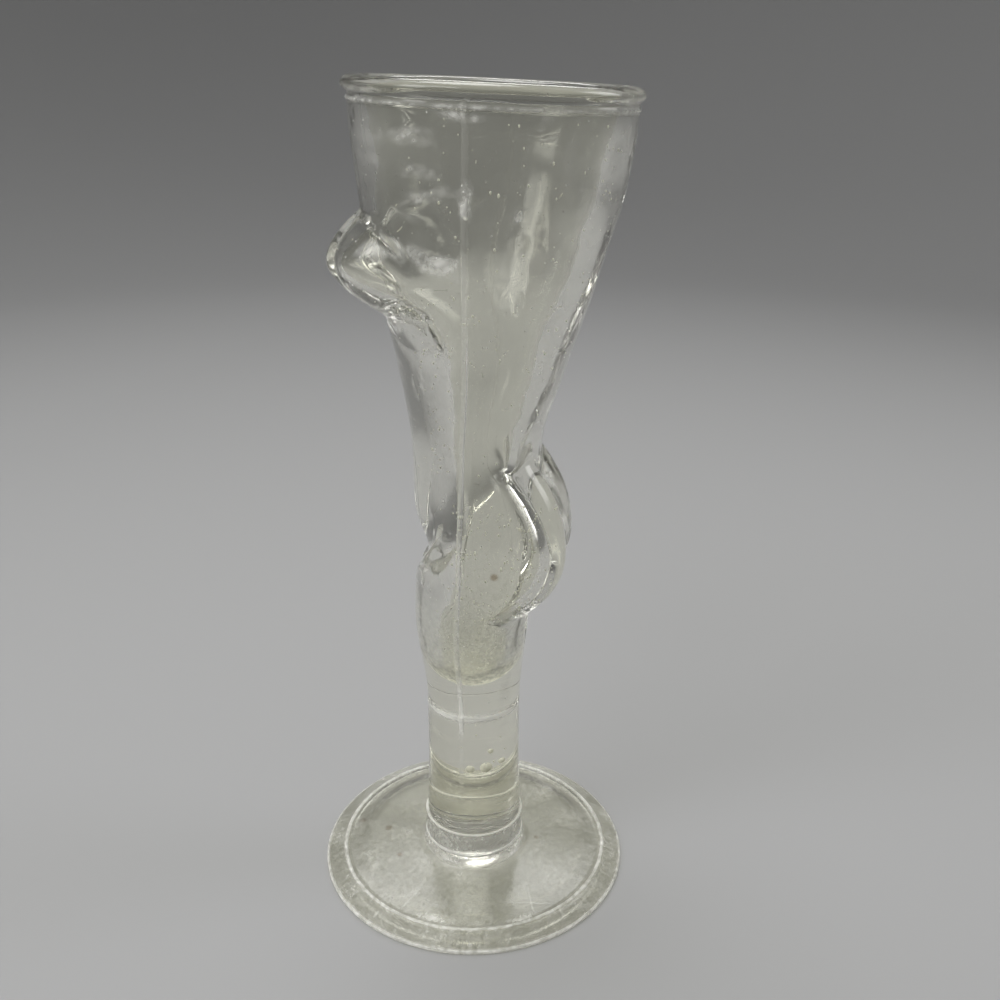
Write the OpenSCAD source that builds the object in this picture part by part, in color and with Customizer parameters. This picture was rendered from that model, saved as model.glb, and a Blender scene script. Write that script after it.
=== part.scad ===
// Figural shot glass: a torso-shaped bowl on a solid stem and a round foot.
// The figure faces -Y, its left side is +X, and +Z is up. The origin is the centre of the foot's underside.
// Heights in the torso sections are measured up from the joint between the stem and the bowl.

/* [Foot] */
// Diameter of the round foot
foot_d = 51.6; // [46:0.2:58]
// Thickness of the foot's rounded outer edge
foot_edge_t = 0.8; // [0.5:0.1:1.2]
// Height of the flat upper face where the sloping edge band ends
foot_face_h = 1.9; // [1.5:0.1:2.6]
// Width of the sloping band round the edge
foot_band_w = 3.4; // [2.4:0.1:4.5]
// Height of the thin ridge that stands on the inner side of the band
foot_ridge_h = 0.3; // [0.1:0.05:0.5]
// Width of that ridge
foot_ridge_w = 1.5; // [0.8:0.1:2]
// Rise of the upper face from the ridge to the boss
foot_rise = 0.7; // [0.1:0.1:1.2]
// Width of the flat ring that the foot rests on
foot_rest_w = 4.6; // [3:0.2:7]
// Depth of the shallow hollow inside the resting ring
foot_hollow_h = 0.5; // [0.2:0.1:0.9]
// How far the short boss under the stem stands out all round
boss_step = 0.25; // [0.05:0.05:0.6]
// Height of the boss above the foot's upper face
boss_h = 6.1; // [4.5:0.1:8]
// Radius of the fillet between the boss and the foot's upper face
boss_fillet_r = 1.9; // [1:0.1:3]

/* [Stem] */
// Height of the solid stem from the boss to the bowl
stem_h = 22.5; // [16:0.5:30]
// Diameter of the stem where it stands on the boss
stem_d = 16.0; // [13.6:0.1:17.6]
// How deep the stem's side is hollowed at its narrowest place
stem_hollow = 0.4; // [0.1:0.05:1]
// Height of the narrowest place above the boss
stem_waist_h = 18.3; // [10:0.1:22]

/* [Bowl] */
// Height of the bowl from the stem to the top of the rim
bowl_h = 95.3; // [90:0.2:106]
// Thickness of the glass between the stem and the bottom of the cavity
floor_t = 4.4; // [3:0.1:7]
// Height of the rounded bottom of the cavity
floor_round_h = 6.5; // [4:0.1:9]
// Backward lean of the rim's plane in degrees
rim_lean = 2.1; // [0:0.1:4]
// How far the rim bead stands out from the neck
bead_out = 0.9; // [0.5:0.1:1.6]
// Height of the rim bead
bead_h = 2.4; // [1.8:0.1:3.6]
// Thickness of the glass at the rim
rim_wall = 2.7; // [2:0.1:3.6]
// Diameter of the neck just below the rim bead
neck_d = 39.2; // [36:0.2:43]
// How far the neck's centre lies behind the stem's axis
neck_set = 2.9; // [0:0.1:4.5]

/* [Shoulders] */
// Height of the shoulder section
shoulder_h = 82; // [79:0.5:85]
// Width of the shoulders from side to side
shoulder_w = 37.6; // [34:0.2:41]
// Depth of the shoulders from front to back
shoulder_d = 37.1; // [34:0.2:41]
// Set-back of the shoulder section's centre
shoulder_set = 2.65; // [0:0.1:4.5]
// Thickness of the glass at the shoulders
shoulder_wall = 3.3; // [2.4:0.1:4.2]
// How far the cavity's centre lies in front of the shoulder section's centre
shoulder_lead = 0.2; // [-1:0.05:1]

/* [Chest] */
// Height of the chest section
chest_h = 72; // [69:0.5:75]
// Width of the chest without the breasts
chest_w = 34; // [31:0.2:37]
// Depth of the chest without the breasts
chest_d = 33.4; // [30:0.2:37]
// Set-back of the chest section's centre
chest_set = 2.2; // [0:0.1:4]
// Thickness of the glass round the chest
chest_wall = 3.3; // [2.6:0.1:4.4]
// How far the cavity's centre lies in front of the chest section's centre
chest_lead = 0.8; // [-0.5:0.05:1.2]

/* [Ribs] */
// Height of the section under the breasts
ribs_h = 57; // [56:0.5:62]
// Width of the ribs
ribs_w = 28; // [25:0.2:32]
// Depth of the ribs
ribs_d = 25.2; // [23:0.2:29]
// Set-back of the rib section's centre
ribs_set = 1.7; // [0:0.1:3]
// Thickness of the glass round the ribs
ribs_wall = 5.6; // [4:0.1:6.4]
// How far the cavity's centre lies in front of the rib section's centre
ribs_lead = -0.8; // [-1.5:0.05:1]

/* [Waist] */
// Height of the waist
waist_h = 43; // [42:0.5:47]
// Width of the waist
waist_w = 23; // [20.5:0.2:26]
// Depth of the waist
waist_d = 19.7; // [18.5:0.2:22]
// Set-back of the waist's centre
waist_set = 0.75; // [-0.5:0.1:2]
// Thickness of the glass round the waist
waist_wall = 5.5; // [4:0.1:6]
// How far the cavity's centre lies in front of the waist's centre
waist_lead = -0.4; // [-1:0.05:1]

/* [Hips] */
// Height of the hips
hip_h = 29; // [27:0.5:31]
// Width of the hips
hip_w = 26.4; // [23:0.2:29]
// Depth of the hips without the buttocks
hip_d = 19.1; // [17.6:0.2:22]
// Set-back of the hip section's centre
hip_set = 0.75; // [-0.5:0.1:2]
// Thickness of the glass round the hips
hip_wall = 4.0; // [3.2:0.1:5]
// How far the cavity's centre lies in front of the hip section's centre
hip_lead = -1.2; // [-1.6:0.05:1]

/* [Thighs] */
// Height of the section across the closed thighs
thigh_h = 13.5; // [11:0.5:16]
// Width of the closed thighs
thigh_w = 19.6; // [17.4:0.2:22]
// Depth of the closed thighs
thigh_d = 17.9; // [16:0.2:20]
// Set-back of the thigh section's centre
thigh_set = -0.2; // [-1:0.1:1]
// Thickness of the glass round the thighs
thigh_wall = 3.4; // [3:0.1:5]
// How far the cavity's centre lies in front of the thigh section's centre
thigh_lead = 0; // [-1:0.05:1]

/* [Breasts] */
// Height of each breast's foremost point
breast_h = 70.6; // [69:0.2:75]
// Distance of that point from the figure's middle plane
breast_x = 6.2; // [5:0.1:7.6]
// How far the breast stands out from the chest
breast_out = 5.9; // [3:0.1:7.5]
// Radius of the breast from side to side
breast_side_r = 7.6; // [6:0.1:8.6]
// Reach of the breast above its foremost point
breast_up_r = 7.6; // [6:0.1:11]
// Reach of the breast below its foremost point
breast_down_r = 6.5; // [6:0.1:11]
// Depth of the cavity's hollow behind each breast, as a share of how far the breast stands out
breast_hollow = 1.1; // [0:0.05:1.15]

/* [Buttocks] */
// Height of each buttock's hindmost point
buttock_h = 28.4; // [26:0.2:32]
// Distance of that point from the figure's middle plane
buttock_x = 6.4; // [5:0.1:8]
// How far the buttock stands out from the hips
buttock_out = 5.5; // [2:0.1:6]
// Radius of the buttock from side to side
buttock_side_r = 7.2; // [6:0.1:9]
// Reach of the buttock above its hindmost point
buttock_up_r = 15; // [10:0.2:17]
// Reach of the buttock below its hindmost point
buttock_down_r = 10.9; // [7:0.2:12]
// Depth of the cavity's hollow behind each buttock, as a share of how far the buttock stands out
buttock_hollow = 0.9; // [0:0.05:1]

/* [Creases] */
// Depth of the creases between the belly and the thighs
groin_depth = 2.0; // [0:0.1:2.6]
// Height where the two creases meet in front
groin_h = 27; // [24:0.5:30]
// Rise of each crease from the middle to the side of the hips
groin_rise = 10; // [6:0.5:14]
// Depth of the line between the thighs, front and back
thigh_line_depth = 0.8; // [0:0.1:1.4]
// Depth of the hollow along the spine
spine_depth = 0.6; // [0:0.1:1.2]

/* [Mesh] */
// Points round each section of the bowl
around = 48; // [32:4:56]
// Height between the sections of the bowl
section_step = 1.7; // [1.5:0.1:3]

/* [Hidden] */
clear_glass = [0.86, 0.90, 0.84, 0.55];

foot_r = foot_d / 2;
stem_r = stem_d / 2;
boss_r = stem_r + boss_step;
face_top = foot_face_h + foot_rise;
boss_top = face_top + boss_h;
bowl_base = boss_top + stem_h;

// The stem's side is one shallow hollow arc, tangent to the narrowest diameter.
stem_waist_r = stem_r - stem_hollow;
stem_arc_r = (stem_waist_h * stem_waist_h + stem_hollow * stem_hollow) / (2 * stem_hollow);
function stem_r_at(h) =
    stem_waist_r + stem_arc_r - sqrt(pow(stem_arc_r, 2) - pow(h - stem_waist_h, 2));
joint_d = 2 * stem_r_at(stem_h);

// The bead is an ellipse in section that spans the rim's wall and overhangs the neck.
bead_half_w = (rim_wall + bead_out) / 2;
bead_half_h = bead_h / 2;
bead_centre_out = (bead_out - rim_wall) / 2;
bead_start = -acos(-bead_centre_out / bead_half_w);
bead_centre_h = bowl_h - bead_half_h;
neck_h = bead_centre_h + bead_half_h * sin(bead_start);
bead_steps = 9;

// Softness of the edge where a breast or a buttock runs out into the body, outside and in the cavity
breast_soft = 0.05;
buttock_soft = 0.08;
hollow_soft = 0.2;
// How much smaller the hollow behind a breast or a buttock is all round than the form outside
hollow_inset = 0.9;
// Roundness of a bump's tip
bump_tip = 0.35;
// Fullness of a bump: 1 has straight flanks, 2 and more is a full dome
breast_full = 1.5;
buttock_full = 2.4;
// Sideways turn of a breast and of a buttock for each unit forwards or backwards
breast_splay = 0.3;
buttock_splay = 0.18;
// Half-widths of the creases: the groin's upper side is long and its lower side short
groin_up_w = 4.6;
groin_down_w = 2.2;
thigh_line_w = 1.2;
spine_w = 2.6;
// Heights over which the creases fade at their ends, and the width over which the splay starts
line_fade = 4;
spine_fade = 8;
splay_fade = 3;
// Share by which the points crowd towards the front and the back
crowding = 0.3;
cap_steps = 6;

function smooth(t) = let(c = min(max(t, 0), 1)) c * c * (3 - 2 * c);
function bell(t) = exp(-t * t);
function column(rows, k) = [for (row = rows) row[k]];

// A smooth curve through the points (x, y) that starts level and never overshoots them
function chord(x, y, i) = (y[i + 1] - y[i]) / (x[i + 1] - x[i]);
function tangent(x, y, i) =
    i == 0 ? 0 :
    i == len(x) - 1 ? chord(x, y, i - 1) :
    let(a = chord(x, y, i - 1), b = chord(x, y, i)) a * b <= 0 ? 0 : 2 * a * b / (a + b);
function span(x, v, i = 0) = i >= len(x) - 2 || v < x[i + 1] ? i : span(x, v, i + 1);
function curve(x, y, v) =
    let(i = span(x, v), w = x[i + 1] - x[i], t = (v - x[i]) / w, s = 1 - t)
    y[i] * s * s * (1 + 2 * t) + y[i + 1] * t * t * (3 - 2 * t)
    + w * t * s * (tangent(x, y, i) * s - tangent(x, y, i + 1) * t);

// One row for each body section: height, width, depth, set-back of the centre, wall, lead of the cavity
sections = [
    [0, joint_d, joint_d, 0, thigh_wall, thigh_lead],
    [thigh_h, thigh_w, thigh_d, thigh_set, thigh_wall, thigh_lead],
    [hip_h, hip_w, hip_d, hip_set, hip_wall, hip_lead],
    [waist_h, waist_w, waist_d, waist_set, waist_wall, waist_lead],
    [ribs_h, ribs_w, ribs_d, ribs_set, ribs_wall, ribs_lead],
    [chest_h, chest_w, chest_d, chest_set, chest_wall, chest_lead],
    [shoulder_h, shoulder_w, shoulder_d, shoulder_set, shoulder_wall, shoulder_lead],
    [neck_h, neck_d, neck_d, neck_set, rim_wall, 0],
    [bowl_h, neck_d, neck_d, neck_set, rim_wall, 0],
];
section_heights = column(sections, 0);
function size_at(h, k) = curve(section_heights, column(sections, k), h);

// Height of a rounded bump at the distance u from its tip, where the bump ends at u = 1
function flank(u, full) = pow(u * u + bump_tip * bump_tip, full / 2) - pow(bump_tip, full);
function bump(u, full, soft) =
    let(v = 1 - flank(u, full) / flank(1, full)) (v + sqrt(v * v + soft * soft)) / 2;
function breast(x, h, soft, inset) =
    let(side = (abs(x) - breast_x) / (breast_side_r - inset))
    let(up = (h - breast_h) / ((h > breast_h ? breast_up_r : breast_down_r) - inset))
    breast_out * bump(norm([side, up]), breast_full, soft);
function buttock(x, h, soft, inset) =
    let(side = (abs(x) - buttock_x) / (buttock_side_r - inset))
    let(up = (h - buttock_h) / ((h > buttock_h ? buttock_up_r : buttock_down_r) - inset))
    buttock_out * bump(norm([side, up]), buttock_full, soft);

// Depths of the creases, as cuts into the front and the back of the body
function groin(x, h) =
    let(u = abs(x) / (hip_w / 2), above = h - groin_h - groin_rise * u * u)
    groin_depth * bell(above / (above > 0 ? groin_up_w : groin_down_w)) * (1 - smooth(3 * u - 2));
function front_line(x, h) = thigh_line_depth * bell(x / thigh_line_w)
    * (1 - smooth((h - groin_h) / line_fade + 1)) * smooth((h - thigh_h / 3) / thigh_h);
function back_line(x, h) = thigh_line_depth * bell(x / thigh_line_w)
    * (1 - smooth((h - buttock_h) / buttock_up_r)) * smooth((h - thigh_h / 3) / thigh_h);
function spine(x, h) = spine_depth * bell(x / spine_w)
    * smooth((h - waist_h) / spine_fade + 1) * (1 - smooth((h - chest_h) / (shoulder_h - chest_h)));

// An angle from the front, moved towards the front or the back
function crowded(t) = t - crowding / 2 * sin(2 * t) * 180 / PI;
// One closed section of the bowl at height h: half sizes a and b, shares of the bumps and the creases, and
// whether it is a section of the cavity
function ring(h, a, b, set, breast_share, buttock_share, crease_share, hollow = false) = [
    for (i = [0 : around - 1])
        let(
            t = crowded(360 * i / around),
            x = a * sin(t),
            front = max(cos(t), 0),
            back = max(-cos(t), 0),
            side = x < 0 ? -1 : 1,
            inset = hollow ? hollow_inset : 0,
            ahead = breast_share * breast(x, h, hollow ? hollow_soft : breast_soft, inset) * smooth(3 * front),
            behind = buttock_share * buttock(x, h, hollow ? hollow_soft : buttock_soft, inset) * smooth(3 * back),
            cut_front = crease_share * (groin(x, h) + front_line(x, h)) * smooth(2 * front),
            cut_back = crease_share * (back_line(x, h) + spine(x, h)) * smooth(2 * back),
            px = x + side * smooth(abs(x) / splay_fade) * (breast_splay * ahead + buttock_splay * behind),
            py = -b * cos(t) - ahead + behind + cut_front - cut_back,
            lean = rim_lean * smooth((h - waist_h) / (shoulder_h - waist_h))
        )
        [px, set + py, bowl_base + h - tan(lean) * py]
];
function outer_ring(h) = ring(h, size_at(h, 1) / 2, size_at(h, 2) / 2, size_at(h, 3), 1, 1, 1);
function bead_ring(angle) =
    let(out = bead_centre_out + bead_half_w * cos(angle), h = bead_centre_h + bead_half_h * sin(angle))
    ring(h, neck_d / 2 + out, neck_d / 2 + out, neck_set, 0, 0, 0);
function inner_ring(h, share = 1, at = undef) =
    let(s = is_undef(at) ? h : at, wall = size_at(s, 4))
    ring(h, share * (size_at(s, 1) / 2 - wall), share * (size_at(s, 2) / 2 - wall), size_at(s, 3) - size_at(s, 5),
        share * breast_hollow, share * buttock_hollow, 0, true);

// The sections in order: up the outside, over the bead, down the cavity and round its bottom
outer_steps = ceil(neck_h / section_step);
cavity_low = floor_t + floor_round_h;
cavity_steps = ceil((bead_centre_h - cavity_low) / (1.2 * section_step));
bowl_rings = [
    for (i = [0 : outer_steps]) outer_ring(neck_h * i / outer_steps),
    for (i = [1 : bead_steps]) bead_ring(bead_start + (180 - bead_start) * i / bead_steps),
    for (i = [1 : cavity_steps]) inner_ring(bead_centre_h + (cavity_low - bead_centre_h) * i / cavity_steps),
    for (i = [1 : cap_steps - 1])
        let(a = 90 * i / cap_steps) inner_ring(cavity_low - floor_round_h * sin(a), cos(a), cavity_low)
];

// Skins a stack of rings into one closed solid, with a middle point at each end
module skin(rings, first, last) {
    n = len(rings[0]);
    m = len(rings);
    points = concat([for (r = rings) each r], [first, last]);
    sides = [
        for (j = [0 : m - 2], i = [0 : n - 1])
            let(a = j * n + i, b = j * n + (i + 1) % n)
            each [[a, a + n, b], [b, a + n, b + n]]
    ];
    bottom = [for (i = [0 : n - 1]) [m * n, i, (i + 1) % n]];
    top = [for (i = [0 : n - 1]) [m * n + 1, (m - 1) * n + (i + 1) % n, (m - 1) * n + i]];
    polyhedron(points, concat(sides, bottom, top), convexity = 8);
}

// Torso-shaped bowl with its cavity and the beaded rim
module bowl() {
    color(clear_glass)
        skin(bowl_rings, [0, 0, bowl_base], [0, size_at(cavity_low, 3) - size_at(cavity_low, 5), bowl_base + floor_t]);
}

// Solid round stem, slightly hollowed in profile
module stem() {
    color(clear_glass)
        translate([0, 0, boss_top])
            rotate_extrude($fn = 96)
                difference() {
                    square([stem_r, stem_h]);
                    translate([stem_waist_r + stem_arc_r, stem_waist_h]) circle(stem_arc_r, $fn = 360);
                }
}

function arc(centre, r, from, to, steps) =
    [for (i = [0 : steps]) let(a = from + (to - from) * i / steps) centre + r * [cos(a), sin(a)]];

// Pressed foot: resting ring, sloping edge band, ridge, upper face and the boss for the stem
module foot() {
    band_r = foot_r - foot_band_w;
    edge_r = foot_edge_t / 2;
    rest_out = foot_r - edge_r;
    rest_in = rest_out - foot_rest_w;
    ridge_half = foot_ridge_w / 2;
    fillet_centre = [boss_r + boss_fillet_r, face_top + boss_fillet_r];
    ridge = [
        for (i = [-4 : 4])
            [band_r - i * ridge_half / 4, foot_face_h + foot_ridge_h * (1 - pow(i / 4, 2))]
    ];
    profile = concat(
        [[0, foot_hollow_h], [rest_in - 2 * foot_hollow_h, foot_hollow_h], [rest_in, 0]],
        arc([rest_out, edge_r], edge_r, -90, 60, 8),
        ridge,
        arc(fillet_centre, boss_fillet_r, 270, 180, 8),
        [[boss_r, boss_top], [0, boss_top]]
    );
    color(clear_glass) rotate_extrude($fn = 96) polygon(profile);
}

bowl();
stem();
foot();
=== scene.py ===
"""Looks of the figural shot glass: clear pressed glass with its seams, waves, seeds and haze.

Lengths are millimetres until a mesh is made, and metres in the studio. Heights on the bowl start at its
joint with the stem. The figure faces -Y, its left side is +X, and an angle round the glass starts at the
front and turns to +X.
"""
import math

import bmesh
import bpy
import numpy as np
from mathutils import Matrix, Vector, noise


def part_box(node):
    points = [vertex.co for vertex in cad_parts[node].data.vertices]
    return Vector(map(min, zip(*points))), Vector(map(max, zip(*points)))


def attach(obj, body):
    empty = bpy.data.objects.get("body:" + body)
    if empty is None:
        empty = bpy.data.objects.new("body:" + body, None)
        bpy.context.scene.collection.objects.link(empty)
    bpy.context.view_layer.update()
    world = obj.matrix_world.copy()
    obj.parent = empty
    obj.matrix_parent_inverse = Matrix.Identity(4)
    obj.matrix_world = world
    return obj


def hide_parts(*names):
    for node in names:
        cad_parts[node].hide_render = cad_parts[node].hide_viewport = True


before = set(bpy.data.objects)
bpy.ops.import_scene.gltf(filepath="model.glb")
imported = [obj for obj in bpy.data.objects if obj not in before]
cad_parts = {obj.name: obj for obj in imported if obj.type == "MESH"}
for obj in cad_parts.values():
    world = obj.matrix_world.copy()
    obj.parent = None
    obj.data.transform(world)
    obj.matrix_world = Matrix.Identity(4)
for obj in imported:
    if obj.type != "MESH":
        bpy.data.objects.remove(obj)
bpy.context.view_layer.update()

MM = 0.001
RANDOM_SEED = 7
rng = np.random.default_rng(RANDOM_SEED)

# Heights of the joints and the foot's radius, from the frame
BOSS_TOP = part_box("stem")[0].z / MM
BOWL_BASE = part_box("stem")[1].z / MM
FOOT_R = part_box("foot")[1].x / MM

# Stem: radius on the boss, depth and height of its hollow side
STEM_R = 8.0
STEM_HOLLOW = 0.4
STEM_WAIST_H = 18.3
STEM_WAIST_R = STEM_R - STEM_HOLLOW
STEM_ARC_R = (STEM_WAIST_H**2 + STEM_HOLLOW**2) / (2 * STEM_HOLLOW)
STEM_H = BOWL_BASE - BOSS_TOP

# Foot
FOOT_EDGE_R = 0.4
FOOT_FACE_H = 1.9
FOOT_RISE = 0.7
FOOT_BAND_W = 3.4
FOOT_RIDGE_H = 0.3
FOOT_RIDGE_W = 1.5
FOOT_REST_W = 4.6
FOOT_HOLLOW_H = 0.5
BOSS_OVER = 0.25
BOSS_R = STEM_R + BOSS_OVER
BOSS_FILLET_R = 1.9

# Rim
BOWL_H = 95.3
RIM_LEAN = math.radians(2.1)
RIM_WALL = 2.7
BEAD_OUT = 0.9
BEAD_H = 2.4
BEAD_HALF_W = (RIM_WALL + BEAD_OUT) / 2
BEAD_CENTRE_OUT = (BEAD_OUT - RIM_WALL) / 2
BEAD_CENTRE_H = BOWL_H - BEAD_H / 2
BEAD_START = -math.acos(-BEAD_CENTRE_OUT / BEAD_HALF_W)
NECK_D = 39.2
NECK_SET = 2.9
NECK_H = BEAD_CENTRE_H + BEAD_H / 2 * math.sin(BEAD_START)

# Cavity
FLOOR_T = 4.4
FLOOR_ROUND_H = 6.5
CAVITY_LOW = FLOOR_T + FLOOR_ROUND_H

# Places on the torso that the forms below refer to
THIGH_H = 13.5
HIP_W = 26.4
WAIST_H = 43.0
CHEST_H = 72.0
SHOULDER_H = 82.0


def stem_radius(h):
    """Radius of the stem at a height above the boss"""
    return STEM_WAIST_R + STEM_ARC_R - np.sqrt(STEM_ARC_R**2 - (h - STEM_WAIST_H) ** 2)


JOINT_D = 2 * float(stem_radius(STEM_H))

# One row for each body section: height, width, depth, set-back of the centre, wall, lead of the cavity
SECTIONS = np.array([
    (0, JOINT_D, JOINT_D, 0, 3.4, 0),
    (THIGH_H, 19.6, 17.9, -0.2, 3.4, 0),
    (29, HIP_W, 19.1, 0.75, 4.0, -1.2),
    (WAIST_H, 23, 19.7, 0.75, 5.5, -0.4),
    (57, 28, 25.2, 1.7, 5.6, -0.8),
    (CHEST_H, 34, 33.4, 2.2, 3.3, 0.8),
    (SHOULDER_H, 37.6, 37.1, 2.65, 3.3, 0.2),
    (NECK_H, NECK_D, NECK_D, NECK_SET, RIM_WALL, 0),
    (BOWL_H, NECK_D, NECK_D, NECK_SET, RIM_WALL, 0),
])
WIDTH, DEPTH, SET_BACK, WALL, LEAD = 1, 2, 3, 4, 5

# A rounded form on the body: height and side distance of its tip, how far it stands out, its reach
# sideways, up and down, its fullness, its sideways turn, and the softness of its edge
BREAST = dict(h=70.6, x=6.2, out=5.9, side=7.6, up=7.6, down=6.5, full=1.5, splay=0.3, soft=0.05)
BUTTOCK = dict(h=28.4, x=6.4, out=5.5, side=7.2, up=15.0, down=10.9, full=2.4, splay=0.18, soft=0.08)
BREAST_HOLLOW = 1.1
BUTTOCK_HOLLOW = 0.9
HOLLOW_SOFT = 0.2
HOLLOW_INSET = 0.9
FORM_TIP = 0.35
SPLAY_FADE = 3.0

# Creases: depths, widths, and the places where they run and fade
GROIN_DEPTH = 2.0
GROIN_H = 27.0
GROIN_RISE = 10.0
GROIN_UP_W = 4.6
GROIN_DOWN_W = 2.2
THIGH_LINE_DEPTH = 0.8
THIGH_LINE_W = 1.2
LINE_FADE = 4.0
SPINE_DEPTH = 0.6
SPINE_W = 2.6
SPINE_FADE = 8.0

# How fast the forms and the creases set in from the sides towards the front and the back
FORM_ONSET = 3
CREASE_ONSET = 2


def smooth(t):
    """A step that is 0 up to 0 and 1 from 1 on, with level ends"""
    c = np.clip(t, 0, 1)
    return c * c * (3 - 2 * c)


def fade_in(distance, zone):
    """A smooth step from 0 to 1 over a zone, which is its start and its width"""
    start, width = zone
    return smooth((distance - start) / width)


def bell(t):
    """A round hump that is 1 at 0"""
    return np.exp(-t * t)


def curve(x, y, v):
    """A smooth curve through the points (x, y) that starts level and never overshoots them"""
    chord = np.diff(y) / np.diff(x)
    both = chord[:-1] * chord[1:]
    total = np.where(both > 0, chord[:-1] + chord[1:], 1)
    slope = np.concatenate(([0], np.where(both > 0, 2 * both / total, 0), chord[-1:]))
    i = np.clip(np.searchsorted(x, v, side="right") - 1, 0, len(x) - 2)
    w = x[i + 1] - x[i]
    t = (v - x[i]) / w
    s = 1 - t
    ends = y[i] * s * s * (1 + 2 * t) + y[i + 1] * t * t * (3 - 2 * t)
    return ends + w * t * s * (slope[i] * s - slope[i + 1] * t)


def size_at(h, column):
    """One column of the body sections, at any height"""
    return curve(SECTIONS[:, 0], SECTIONS[:, column], h)


def form(x, h, f, hollow):
    """How far a breast or a buttock, or the hollow behind it, stands out at side distance x and height h"""
    inset = HOLLOW_INSET if hollow else 0
    soft = HOLLOW_SOFT if hollow else f["soft"]
    reach = np.where(h > f["h"], f["up"], f["down"]) - inset
    u2 = ((np.abs(x) - f["x"]) / (f["side"] - inset)) ** 2 + ((h - f["h"]) / reach) ** 2
    power = f["full"] / 2
    low = FORM_TIP ** f["full"]
    v = 1 - ((u2 + FORM_TIP**2) ** power - low) / ((1 + FORM_TIP**2) ** power - low)
    return f["out"] * (v + np.sqrt(v * v + soft**2)) / 2


def thigh_line(x, h):
    """Depth of the line between the thighs"""
    return THIGH_LINE_DEPTH * bell(x / THIGH_LINE_W) * smooth((h - THIGH_H / 3) / THIGH_H)


def front_creases(x, h):
    """Depth of the groin and of the thigh line in front"""
    u = np.abs(x) / (HIP_W / 2)
    above = h - GROIN_H - GROIN_RISE * u * u
    width = np.where(above > 0, GROIN_UP_W, GROIN_DOWN_W)
    groin = GROIN_DEPTH * bell(above / width) * (1 - smooth(3 * u - 2))
    return groin + thigh_line(x, h) * (1 - smooth((h - GROIN_H) / LINE_FADE + 1))


def back_creases(x, h):
    """Depth of the thigh line behind and of the spine"""
    spine = SPINE_DEPTH * bell(x / SPINE_W) * smooth((h - WAIST_H) / SPINE_FADE + 1)
    fade = 1 - smooth((h - CHEST_H) / (SHOULDER_H - CHEST_H))
    return thigh_line(x, h) * (1 - smooth((h - BUTTOCK["h"]) / BUTTOCK["up"])) + spine * fade


def body(h, t, a, b, back, breast_share=0.0, buttock_share=0.0, crease_share=0.0, hollow=False):
    """Points on a skin of the bowl at heights h and angles t, from half sizes and shares of the forms"""
    x = a * np.sin(t)
    front = np.maximum(np.cos(t), 0)
    rear = np.maximum(-np.cos(t), 0)
    ahead = breast_share * form(x, h, BREAST, hollow) * smooth(FORM_ONSET * front)
    behind = buttock_share * form(x, h, BUTTOCK, hollow) * smooth(FORM_ONSET * rear)
    front_cut = front_creases(x, h) * smooth(CREASE_ONSET * front)
    rear_cut = back_creases(x, h) * smooth(CREASE_ONSET * rear)
    turn = np.sign(x) * smooth(np.abs(x) / SPLAY_FADE)
    px = x + turn * (BREAST["splay"] * ahead + BUTTOCK["splay"] * behind)
    py = -b * np.cos(t) - ahead + behind + crease_share * (front_cut - rear_cut)
    lean = RIM_LEAN * smooth((h - WAIST_H) / (SHOULDER_H - WAIST_H))
    pz = BOWL_BASE + h - np.tan(lean) * py
    return np.stack(np.broadcast_arrays(px, back + py, pz), axis=-1)


def outer_skin(h, t):
    """Points on the bowl's outside"""
    return body(h, t, size_at(h, WIDTH) / 2, size_at(h, DEPTH) / 2, size_at(h, SET_BACK), 1, 1, 1)


def bead_skin(angle, t):
    """Points on the rim's bead, at angles round its own section"""
    r = NECK_D / 2 + BEAD_CENTRE_OUT + BEAD_HALF_W * np.cos(angle)
    return body(BEAD_CENTRE_H + BEAD_H / 2 * np.sin(angle), t, r, r, NECK_SET)


def inner_skin(h, t, share=1.0, at=None):
    """Points on the cavity, or on a share of its section at another height"""
    s = h if at is None else at
    a = share * (size_at(s, WIDTH) / 2 - size_at(s, WALL))
    b = share * (size_at(s, DEPTH) / 2 - size_at(s, WALL))
    back = size_at(s, SET_BACK) - size_at(s, LEAD)
    return body(h, t, a, b, back, share * BREAST_HOLLOW, share * BUTTOCK_HOLLOW, hollow=True)


# Columns of the bowl and the stem: even all round, and close together at the mould seams on both sides
EVEN_COLUMNS = 150
SEAM_ANGLES = np.radians([90.0, 270.0])
SEAM_OFFSETS = np.radians([0, 0.6, 1.0, 1.3, 1.6, 1.9, 2.3, 2.7, 3.1, 3.6, 4.3, 5.2])
# Even columns nearer to a seam than this many times its last offset are left out
SEAM_CLEAR = 1.2
ANGLE_DIGITS = 9
# The seam on the figure's left drifts towards the front from the chest down to the thighs
SEAM_HIGH = (70.0, math.radians(-1.5))
SEAM_LOW = (12.0, math.radians(-5.8))
SEAM_REACH = math.radians(30)
FOOT_COLUMN_COUNT = 480


def even_angles(count):
    return np.arange(count) * 2 * np.pi / count


def column_angles():
    """Angles of the bowl's and the stem's columns before they follow the drifting seam"""
    even = even_angles(EVEN_COLUMNS)
    far = np.min(np.abs(even[:, None] - SEAM_ANGLES), axis=1) > SEAM_OFFSETS[-1] * SEAM_CLEAR
    close = np.concatenate([SEAM_ANGLES[:, None] + s * SEAM_OFFSETS for s in (-1, 1)], axis=1)
    return np.unique(np.round(np.concatenate((even[far], close.ravel())), ANGLE_DIGITS))


COLUMNS = column_angles()
FOOT_COLUMNS = even_angles(FOOT_COLUMN_COUNT)


def drifted(h):
    """Column angles at heights h on the bowl, which follow the drifting seam"""
    heights, shifts = zip(SEAM_LOW, SEAM_HIGH)
    return COLUMNS + np.interp(h, heights, shifts) * bell((COLUMNS - SEAM_ANGLES[0]) / SEAM_REACH)


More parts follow.
